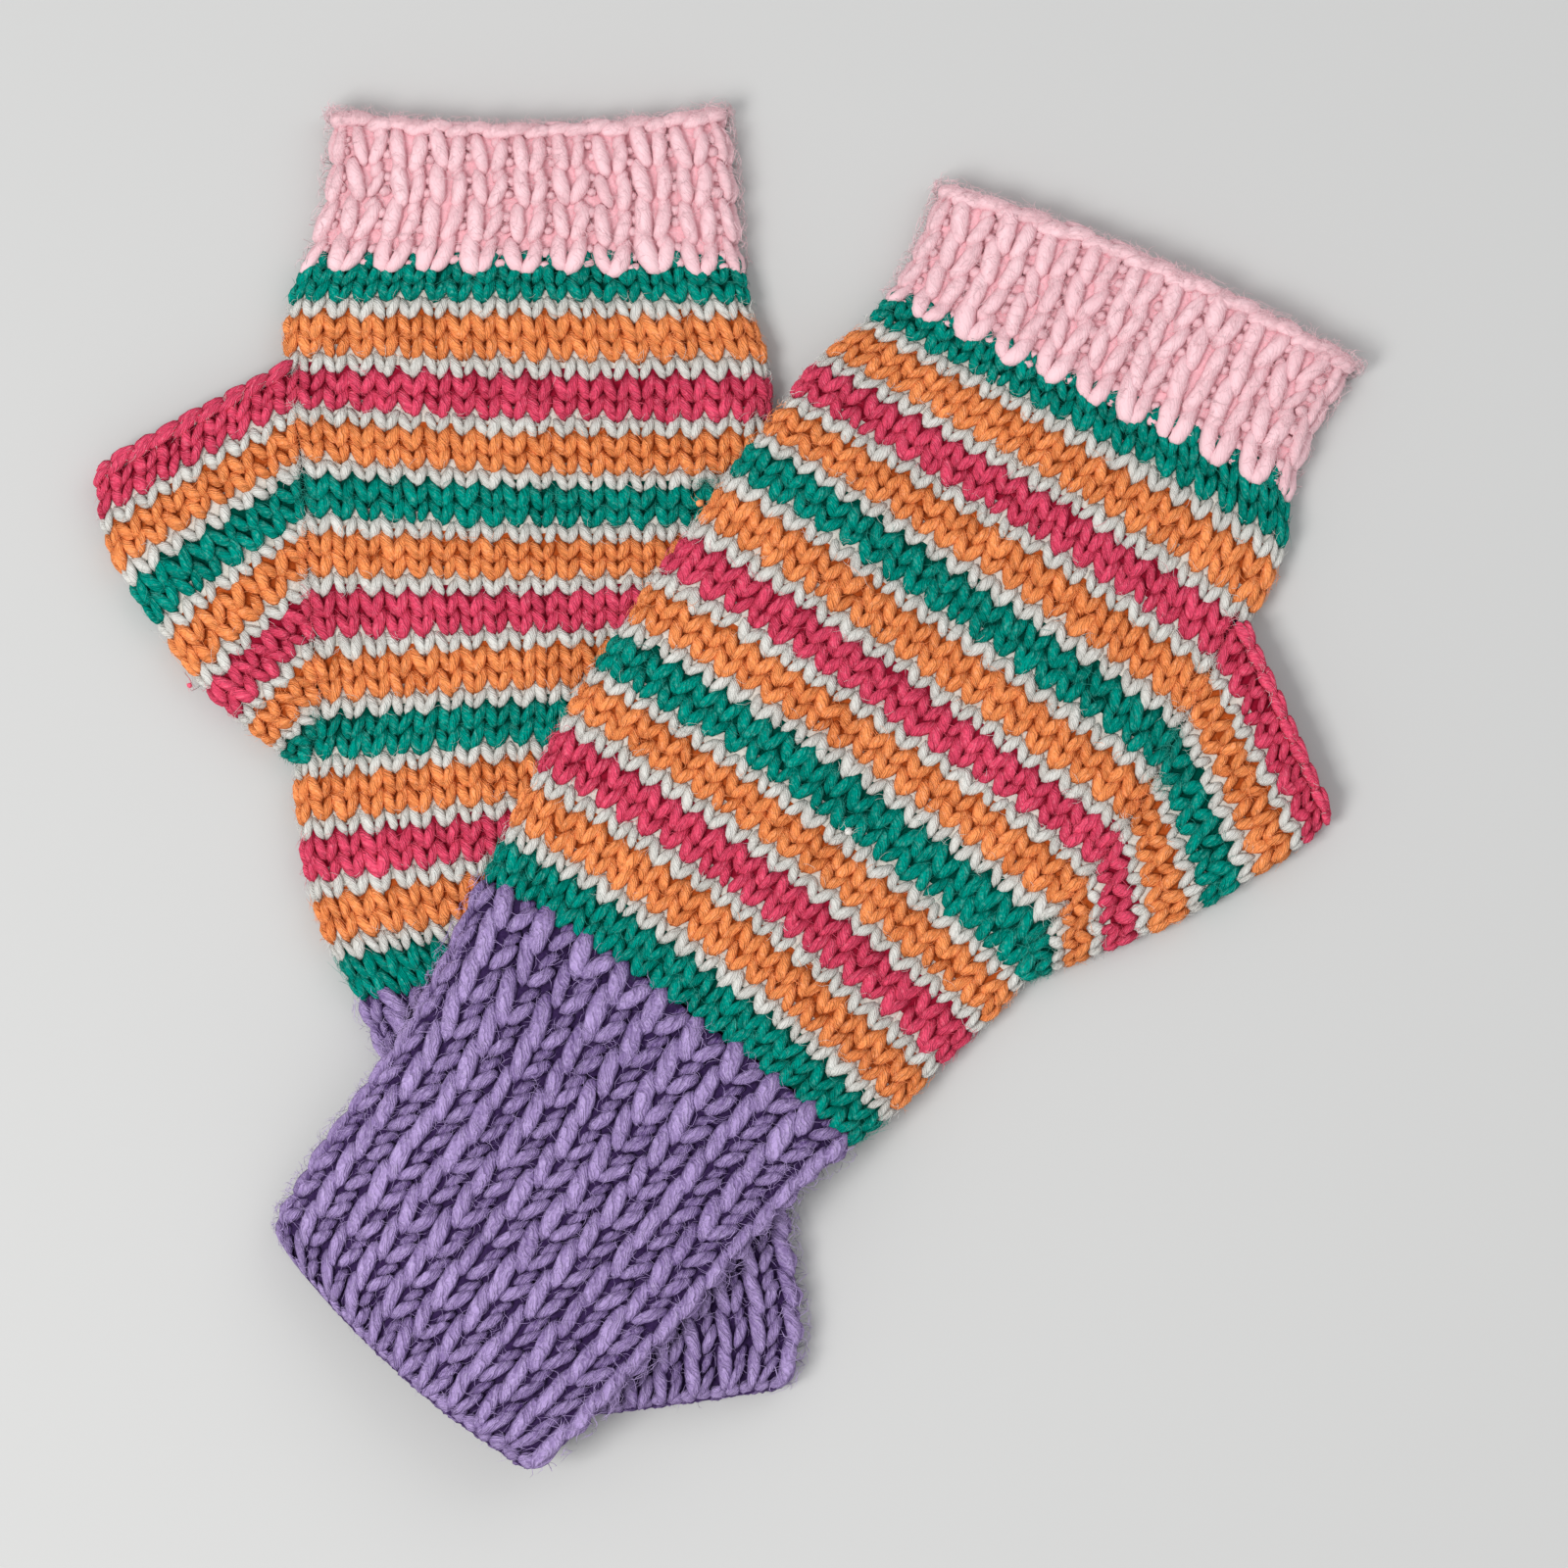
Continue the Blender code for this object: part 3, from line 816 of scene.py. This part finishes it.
class MittenYarns(bpy.types.PropertyGroup):
    # Each yarn's colour where light falls, and its _deep colour of painted shade in the gaps
    lavender: lit_colour("Lavender", (0.425, 0.316, 0.586))
    lavender_deep: deep_colour("Lavender", (0.036, 0.004, 0.1))
    orange: lit_colour("Orange", (0.97, 0.33, 0.11))
    orange_deep: deep_colour("Orange", (0.40, 0.055, 0.004))
    crimson: lit_colour("Crimson", (0.80, 0.08, 0.16))
    crimson_deep: deep_colour("Crimson", (0.26, 0.0, 0.015))
    green: lit_colour("Green", (0.0, 0.30, 0.232))
    green_deep: deep_colour("Green", (0.0, 0.035, 0.022))
    white: lit_colour("White", (0.68, 0.675, 0.635))
    white_deep: deep_colour("White", (0.40, 0.37, 0.33))
    pink: lit_colour("Pink", (0.82, 0.56, 0.595))
    pink_deep: deep_colour("Pink", (0.68, 0.36, 0.40))
    plies: IntProperty(name="Plies", description="Plies of the yarn", min=1, max=6, default=3)
    twist: FloatProperty(name="Twist", description="Turns of a ply along one leg", min=0, max=8, default=2.2)
    fibre: FloatProperty(name="Fibre", description="How much loose fibre varies the colour", min=0, max=1,
                         default=0.9)


class MittenShape(bpy.types.PropertyGroup):
    leg_radius: radius_property("Leg radius", 1.13, "hand stitch's leg")
    cuff_radius: radius_property("Cuff leg radius", 1.62, "cuff leg")
    finger_radius: radius_property("Finger leg radius", 1.66, "finger rib leg")
    fibre_radius: radius_property("Fibre radius", 0.038, "loose fibre")
    hand_inset: FloatProperty(name="Hand inset", description="Depth of the hand's ground, in millimetres",
                              default=1.3)


class MittenStage(bpy.types.PropertyGroup):
    floor: colour_property("Table", (0.505, 0.505, 0.498), "Colour of the table")
    tilt: FloatProperty(name="Tilt", description="Camera away from straight above", subtype="ANGLE",
                        default=math.radians(7.0))
    distance: distance_property("Distance", 1.1, "Camera to table")
    framed: distance_property("Framed width", 0.296, "Width of table in view")
    sight_x: distance_property("Sight X", 0.0103, "Point looked at")
    sight_y: distance_property("Sight Y", 0.0009, "Point looked at")


# Operators

class PieceOperator:
    """Shared by the operators: each makes its pieces for both mittens."""

    bl_options = {"REGISTER", "UNDO"}

    def execute(self, context):
        for name in MITTENS:
            self.build(name, context.scene.mitten_shape)
        return {"FINISHED"}


def stockinette_leg(rounds, rings, shape):
    """The leg on the right of a stockinette V."""
    return leg(rounds, rings, (0.12, -1.35), (2.25, 4.55), shape.leg_radius, dive=1.9, rise=0.4, curl=0.1,
               sharp=0.27)


def course_fit(course, raised=0.45):
    """The single white courses lie thinner and deeper than the bands beside them."""
    if stripe(min(course, COURSES - 1)) == "white":
        return {"out": raised - 0.2, "scale": 0.9, "jitter": 1.4, "rough": 0.05}
    return {"out": raised, "scale": 1.03, "jitter": 1.4, "rough": 0.05}


class MITTEN_OT_hands(PieceOperator, bpy.types.Operator):
    """Adds the striped stockinette stitches of both hands"""

    bl_idname = "mitten.hands"
    bl_label = "Add hand stitches"

    def build(self, name, shape):
        count = MITTENS[name]["stitches"]
        top_leg = leg(8, 6, (0.12, -1.35), (1.9, 3.2), shape.leg_radius, 0.2, dive=0.8, rise=0.4, sharp=0.3)
        faces = (("front", stockinette_leg(8, 6, shape), 0, 0.45, 11),
                 ("back", stockinette_leg(6, 4, shape), count, 0.0, 12))
        for face, template, first, raised, seed in faces:
            stitches = Stitches(name, "hand", seed)
            for course in range(COURSES + 1):
                wales = np.arange(first, first + count)
                if GUSSET_FROM <= course < GUSSET_TO:
                    wales = wales[(wales > 0) & (wales < 2 * count - 1)]
                top = course == COURSES
                for mirror in (-1, 1):
                    stitches.lay(top_leg if top else template, course, wales + 0.5, mirror,
                                 YARNS.index(stripe(course - top)), **course_fit(course, raised))
            stitches.build("hand_stitches_" + face)


class MITTEN_OT_gussets(PieceOperator, bpy.types.Operator):
    """Adds the stitches of both thumb gussets"""

    bl_idname = "mitten.gussets"
    bl_label = "Add gusset stitches"

    def build(self, name, shape):
        template = stockinette_leg(8, 6, shape)
        stitches = Stitches(name, "gusset", 21)
        for course in range(int(GUSSET_FROM), int(GUSSET_TO)):
            half = stitches.tube.half(np.array([course + 0.5]))[0]
            count = max(round(half), 1)
            wales = (np.arange(count) + 0.5) * half / count
            wales = np.concatenate([-wales[::-1], wales])
            for mirror in (-1, 1):
                stitches.lay(template, course, wales, mirror, YARNS.index(stripe(course)),
                             narrow=min(half / count, 1.15), **course_fit(course))
        stitches.build("gusset_stitches")


def cuff_legs(radius, rounds, rings, row):
    """The long left leg, the slanted right leg and the strand between of a cuff's wale. Those of its highest
    row tuck under the green."""
    tuck = 1.4 if row == "highest" else 0.0
    tip = -0.3 if row == "lowest" else -1.7
    return (
        leg(rounds, rings, (-0.3, tip), (-2.6, 8.8 - tuck), radius, dive=1.4 + tuck, rise=0.3, curl=-0.2,
            sharp=0.3),
        leg(rounds, rings, (0.7, -0.5), (3.6, 5.3), radius * 0.8, 0.35, dive=1.0, rise=0.5, sharp=0.42),
        leg(6, 6, (0.9, 3.2), (3.0, 7.6 - tuck), radius * 0.66, 1.2 + tuck / 2, dive=0.8, rise=0.3,
            sharp=0.4),
    )


def finger_legs(radius, rounds, rings, row):
    """Both legs of a finger rib's wale, the two strands of the purl wale beside it and the strand between.
    The legs of the lowest row meet in a point."""
    apart = 0.3 if row == "lowest" else 0.8
    return (
        leg(rounds, rings, (-apart, -2.3), (-2.3, 7.9), radius, dive=1.0, rise=0.3, curl=-0.4, sharp=0.3),
        leg(rounds, rings, (apart, -2.3), (2.6, 6.5), radius * 0.95, 0.05, dive=1.1, rise=0.3, curl=0.4,
            sharp=0.3),
        leg(6, 5, (3.0, 0.9), (5.3, 1.5), radius * 0.62, 1.3, dive=0.3, rise=0.3, sharp=0.4),
        leg(6, 5, (3.1, 3.6), (5.2, 4.0), radius * 0.6, 1.4, dive=0.3, rise=0.3, sharp=0.4),
        leg(6, 6, (1.2, 3.6), (2.8, 7.2), radius * 0.7, 0.9, dive=0.6, rise=0.3, sharp=0.4),
    )


class RibOperator(PieceOperator):
    """Shared by the operators of the two ribs: nine knit wales to a flat side, one on each fold."""

    def build(self, name, shape):
        part, radius = self.part, getattr(shape, self.part + "_radius")
        legs = cuff_legs if part == "cuff" else finger_legs
        pitch = (tube_of(name, part).knots[-1] + self.spare) / self.rows
        flat = np.arange(RIBS_ACROSS) + 0.5
        on_folds = (RIBS_ACROSS + 0.36, 2 * RIBS_HALF - 0.36)
        faces = (("front", [*flat, *on_folds], 8, PARTS[part]["relief"]), ("back", flat + RIBS_HALF, 6, 0.0))
        for face, wales, detail, out in faces:
            stitches = Stitches(name, part, self.seed + (face == "back"), self.width, pitch, self.first)
            rows = [legs(radius, detail, detail, row) for row in ("lowest", "middle", "highest")]
            for wale in wales:
                v = np.arange(self.rows) + stitches.random.uniform(-0.12, 0.12)
                fit = {"out": out, "jitter": self.jitter, "deep": 2.2 * radius, "rough": 0.09}
                if face == "front" and wale > RIBS_ACROSS:
                    fit.update(out=out * 0.7, narrow=0.65)
                for templates, chosen in zip(rows, (v[:1], v[1:-1], v[-1:])):
                    for template in templates:
                        stitches.lay(template, chosen, np.full(len(chosen), wale), 1, 0, **fit)
            stitches.build(f"{part}_stitches_{face}")


class MITTEN_OT_cuffs(RibOperator, bpy.types.Operator):
    """Adds the ribbed stitches of both cuffs"""

    bl_idname = "mitten.cuffs"
    bl_label = "Add cuff stitches"

    part, seed, rows, width, first, spare, jitter = "cuff", 31, 12, 7.4, 0.9, 0.3, 1.15


class MITTEN_OT_fingers(RibOperator, bpy.types.Operator):
    """Adds the ribbed stitches of both finger edges"""

    bl_idname = "mitten.fingers"
    bl_label = "Add finger edge stitches"

    part, seed, rows, width, first, spare, jitter = "finger", 41, 4, 8.2, -1.6, 0.4, 1.5


class MITTEN_OT_edges(PieceOperator, bpy.types.Operator):
    """Adds the bound-off chains of the finger edges and thumbs and the cast-on edges of the cuffs"""

    bl_idname = "mitten.edges"
    bl_label = "Add edges"

    def build(self, name, shape):
        s = np.arange(4 * RIBS_HALF) / 2 + 0.25
        stitches = Stitches(name, "finger", 51, MITTEN_OT_fingers.width, RIB_ROW, 0.0)
        end = stitches.tube.knots[-1] / RIB_ROW + 0.06 * np.cos(2 * math.pi * (s - 0.25))
        outer = edge_link(8, (-3.4, -0.7), (3.4, 0.5), 1.75, -0.1)
        inner = edge_link(8, (-3.2, 0.6), (3.2, -0.3), 1.6, 1.8)
        for template, shift in ((outer, -0.1), (inner, 0.04)):
            stitches.lay(template, end + shift, s, 1, 0, out=0.3, deep=3.6, rough=0.1)
        stitches.build("finger_edge")

        stitches = Stitches(name, "cuff", 52, MITTEN_OT_cuffs.width, 7.0, 0.0)
        outer = edge_link(6, (-2.3, 0.5), (2.3, -0.5), 1.2, 0.5)
        inner = edge_link(6, (-2.1, -0.4), (2.1, 0.5), 1.1, 1.8)
        for template, shift in ((outer, 0.14), (inner, 0.08)):
            stitches.lay(template, shift, s, 1, 0, out=0.3, deep=3.6, rough=0.08)
        stitches.build("cuff_edge")

        stitches = Stitches(name, "gusset", 53)
        half = stitches.tube.half(np.array([GUSSET_TO]))[0]
        count = int(2 * half)
        s = (np.arange(count) + 0.5) * (2 * half - 0.7) / count - half + 0.35
        lower = edge_link(8, (-3.3, -0.9), (2.6, 0.7), 1.5, -0.3)
        upper = edge_link(8, (-2.6, 2.0), (3.3, 0.6), 1.4, 0.1)
        for template in (lower, upper):
            stitches.lay(template, GUSSET_TO + 0.12, s, 1, YARNS.index("crimson"), out=0.3, deep=3.0,
                         rough=0.06)
        stitches.build("thumb_edge")


def fibre_templates(radius):
    """Loose fibres: some lie over the stitches in an arc, some stand off with a free end."""
    made = []
    kinds = ((3.2, 0.6, 0.7, 0.0), (4.4, -1.0, 0.5, 0.3), (2.4, 0.4, 0.2, 1.0), (3.4, -0.7, 0.1, 1.5))
    for length, bend, arc, free in kinds:
        def path(t):
            rise = arc * np.sin(math.pi * t) + free * t ** 1.5
            return np.column_stack([bend * np.sin(math.pi * t), length * (t - 0.5), rise - 0.35])

        made.append(leg_template(3, 3, path, lambda t: radius * np.sin(math.pi * (0.12 + 0.76 * t)) ** 0.5))
    return made


class MITTEN_OT_fuzz(PieceOperator, bpy.types.Operator):
    """Adds the loose fibres that stand off the wool"""

    bl_idname = "mitten.fuzz"
    bl_label = "Add loose fibres"

    # part, fibres on the front and folds, fibres on the back, share of them on its outer edge
    parts = (("hand", 4600, 500, 0.0), ("gusset", 760, 80, 0.2), ("cuff", 3000, 250, 0.0),
             ("finger", 2300, 200, 0.3))

    # the tufts seen in the photo: course, wale, yarn, fibres, radius of the bead in it, how far it stands off
    tufts = {
        ("left", "hand"): ((26.1, 17.0, "green", 34, 0.0, 0.9), (25.1, 16.8, "orange", 3, 0.8, 0.9)),
        ("left", "gusset"): ((20.6, 0.0, "crimson", 3, 0.5, 1.8),),
        ("right", "hand"): ((11.95, 9.15, "white", 6, 0.8, 0.9), (23.3, 0.6, "green", 22, 0.0, 0.9)),
    }

    def tuft(self, fibres, templates, v, s, wool, count, bead, off):
        random, colour = fibres.random, YARNS.index(wool)
        around = random.normal(0, 0.2, (count, 2))
        turn = random.uniform(0, 2 * math.pi, count)
        for k, template in enumerate(templates):
            own = slice(k, None, len(templates))
            fibres.lay(template, v + around[own, 0], s + around[own, 1], 1, colour, out=off, turn=turn[own],
                       jitter=3.0)
        if bead:
            ball = leg(6, 5, (0.0, -bead), (0.0, bead), bead, dive=0.0, rise=0.0)
            fibres.lay(ball, v, np.array([s]), 1, colour, out=off, rough=0.04)

    def build(self, name, shape):
        templates = fibre_templates(shape.fibre_radius)
        for number, (part, front, back, edge_share) in enumerate(self.parts):
            tube, rib = tube_of(name, part), part in ("cuff", "finger")
            if rib:
                fibres = Stitches(name, part, 60 + number, 7.6, RIB_ROW, 0.0)
                first, last = 0.0, tube.knots[-1] / RIB_ROW
            else:
                fibres = Stitches(name, part, 60 + number)
                first, last = (0.0, COURSES) if part == "hand" else (GUSSET_FROM, GUSSET_TO)
            half = MITTENS[name]["stitches"] if part == "hand" else RIBS_HALF
            random = fibres.random
            for count, behind in ((front, False), (back, True)):
                v = random.uniform(first, last, count)
                at_edge = random.uniform(0, 1, count) < edge_share
                v = np.where(at_edge, last + random.normal(0.1, 0.12, count), v)
                s = random.uniform(-0.4, half + 0.4, count) + (half if behind else 0)
                at_fold = random.uniform(0, 1, count) < 0.16
                s = np.where(at_fold, np.round(s / half) * half + random.normal(-0.4, 0.35, count), s)
                if part == "hand":
                    open_here = (v >= GUSSET_FROM) & (v < GUSSET_TO)
                    s = np.where(open_here, np.clip(s, 1.0, 2 * half - 1.0), s)
                if part == "gusset":
                    s = random.uniform(-0.3, 1, count) * tube.half(v) * (-1 if behind else 1)
                colours = [0 if rib else YARNS.index(stripe(c)) for c in np.clip(v, 0, COURSES - 0.1)]
                kind = random.integers(0, len(templates), count)
                turn = random.uniform(0, 2 * math.pi, count)
                for k, template in enumerate(templates):
                    own = kind == k
                    fibres.lay(template, v[own], s[own], 1, np.array(colours)[own], turn=turn[own],
                               jitter=3.0, out=0.0 if behind else PARTS[part]["relief"])
            for tuft in self.tufts.get((name, part), ()):
                self.tuft(fibres, templates, *tuft)
            fibres.build(part + "_fibres", fibre_wool)


class MITTEN_OT_grounds(PieceOperator, bpy.types.Operator):
    bl_idname = "mitten.grounds"
    bl_label = "Add cloth under the stitches"

    flats = {
        ("left", "cuff"): (0.136, 0.083), ("left", "hand"): (0.182, 0.131),
        ("left", "gusset"): (0.060, 0.062), ("left", "finger"): (0.162, 0.0285),
        ("right", "cuff"): (0.144, 0.083), ("right", "hand"): (0.196, 0.137),
        ("right", "gusset"): (0.048, 0.062), ("right", "finger"): (0.170, 0.027),
    }

    def build(self, name, shape):
        ends = [0.06, GUSSET_FROM, GUSSET_TO, COURSES + 0.45]
        courses = np.unique(np.concatenate([np.arange(COURSES) + GROUND_SHIFT, ends]))
        inside = [GUSSET_FROM + 0.1, GUSSET_TO - 0.1]
        let_in = np.unique(np.concatenate([np.arange(GUSSET_FROM, GUSSET_TO) + GROUND_SHIFT, inside]))
        wedge = spread(FRONT, 10) + spread(LITTLE_FOLD, 6) + spread(BACK, 10, True)
        cuff, finger = (tube_of(name, part).knots[-1] for part in ("cuff", "finger"))
        grids = {
            "hand": (courses, all_round(26), shape.hand_inset),
            "gusset": (let_in, wedge, shape.hand_inset),
            "cuff": (np.linspace(0.0, cuff - 0.2, 14), all_round(54), 1.5),
            "finger": (np.linspace(1.3, finger, 7), all_round(54), 1.5),
        }
        shells = {part: ground_shell(name, part, *grid) for part, grid in grids.items()}
        for part, obj in shells.items():
            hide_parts(f"{name}_{PARTS[part]['node']}")
            under = ["table"] if name == "left" else ["left_hand_ground", "table"]


class MITTEN_OT_stage(bpy.types.Operator):
    """Adds the table, the lights and the camera"""

    bl_idname = "mitten.stage"
    bl_label = "Add table, lights and camera"
    bl_options = {"REGISTER", "UNDO"}

    def execute(self, context):
        stage = context.scene.mitten_stage
        mesh = bmesh.new()
        bmesh.ops.create_grid(mesh, x_segments=1, y_segments=1, size=3.0)
        data = new_mesh("table", [floor_material(stage.floor)])
        mesh.to_mesh(data)
        mesh.free()
        table = bpy.data.objects.new("table", data)
        context.scene.collection.objects.link(table)
        table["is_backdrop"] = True
        self.light("key", (-0.60, -0.38, 1.05), 0.5, 12.6, (1.0, 0.995, 0.985))
        self.light("fill", (0.75, 0.55, 0.95), 0.9, 2.9, (0.985, 0.99, 1.0))
        world = bpy.data.worlds.new("room")
        world.use_nodes = True
        background = world.node_tree.nodes["Background"]
        background.inputs["Color"].default_value = (0.97, 0.98, 1.0, 1.0)
        background.inputs["Strength"].default_value = 0.66
        context.scene.world = world
        self.camera(context, stage)
        context.scene.view_settings.view_transform = "Standard"
        return {"FINISHED"}

    def light(self, name, place, size, power, colour):
        lamp = bpy.data.lights.new(name, "AREA")
        lamp.energy, lamp.size, lamp.color = power, size, colour
        self.aimed(name, lamp, Vector(place), Vector(place))

    def aimed(self, name, data, place, back):
        """A lamp or camera at a place, its back turned that way."""
        obj = bpy.data.objects.new(name, data)
        obj.location = place
        obj.rotation_euler = (-back).to_track_quat("-Z", "Y").to_euler()
        bpy.context.scene.collection.objects.link(obj)
        return obj

    def camera(self, context, stage):
        data = bpy.data.cameras.new("camera")
        data.sensor_width = 36.0
        data.lens = 18.0 * stage.distance / (stage.framed / 2)
        data.clip_start, data.clip_end = 0.05, 10.0
        back = Vector((0.0, -math.sin(stage.tilt), math.cos(stage.tilt)))
        place = Vector((stage.sight_x, stage.sight_y, 0.0)) + back * stage.distance
        context.scene.camera = self.aimed("camera", data, place, back)


class MITTEN_PT_panel(bpy.types.Panel):
    """Buttons that build the mittens, and their settings"""

    bl_idname = "MITTEN_PT_panel"
    bl_label = "Knitted mittens"
    bl_space_type = "VIEW_3D"
    bl_region_type = "UI"
    bl_category = "Mittens"

    def draw(self, context):
        layout = self.layout
        for operator in OPERATORS:
            layout.operator(operator.bl_idname)
        for group in (context.scene.mitten_shape, context.scene.mitten_yarns, context.scene.mitten_stage):
            box = layout.box()
            for key in group.bl_rna.properties.keys():
                if key not in ("rna_type", "name"):
                    box.prop(group, key)


OPERATORS = (
    MITTEN_OT_hands,
    MITTEN_OT_gussets,
    MITTEN_OT_cuffs,
    MITTEN_OT_fingers,
    MITTEN_OT_edges,
    MITTEN_OT_fuzz,
    MITTEN_OT_grounds,
    MITTEN_OT_stage,
)
CLASSES = (MittenYarns, MittenShape, MittenStage, *OPERATORS, MITTEN_PT_panel)


def register():
    for cls in CLASSES:
        bpy.utils.register_class(cls)
    bpy.types.Scene.mitten_yarns = PointerProperty(type=MittenYarns)
    bpy.types.Scene.mitten_shape = PointerProperty(type=MittenShape)
    bpy.types.Scene.mitten_stage = PointerProperty(type=MittenStage)


def unregister():
    del bpy.types.Scene.mitten_stage
    del bpy.types.Scene.mitten_shape
    del bpy.types.Scene.mitten_yarns
    for cls in reversed(CLASSES):
        bpy.utils.unregister_class(cls)


def corners():
    return [list(corner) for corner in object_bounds()]


def main():
    register()
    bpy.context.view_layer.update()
    for operator in OPERATORS:
        group, name = operator.bl_idname.split(".")
        getattr(getattr(bpy.ops, group), name)()


if __name__ == "__main__":
    main()
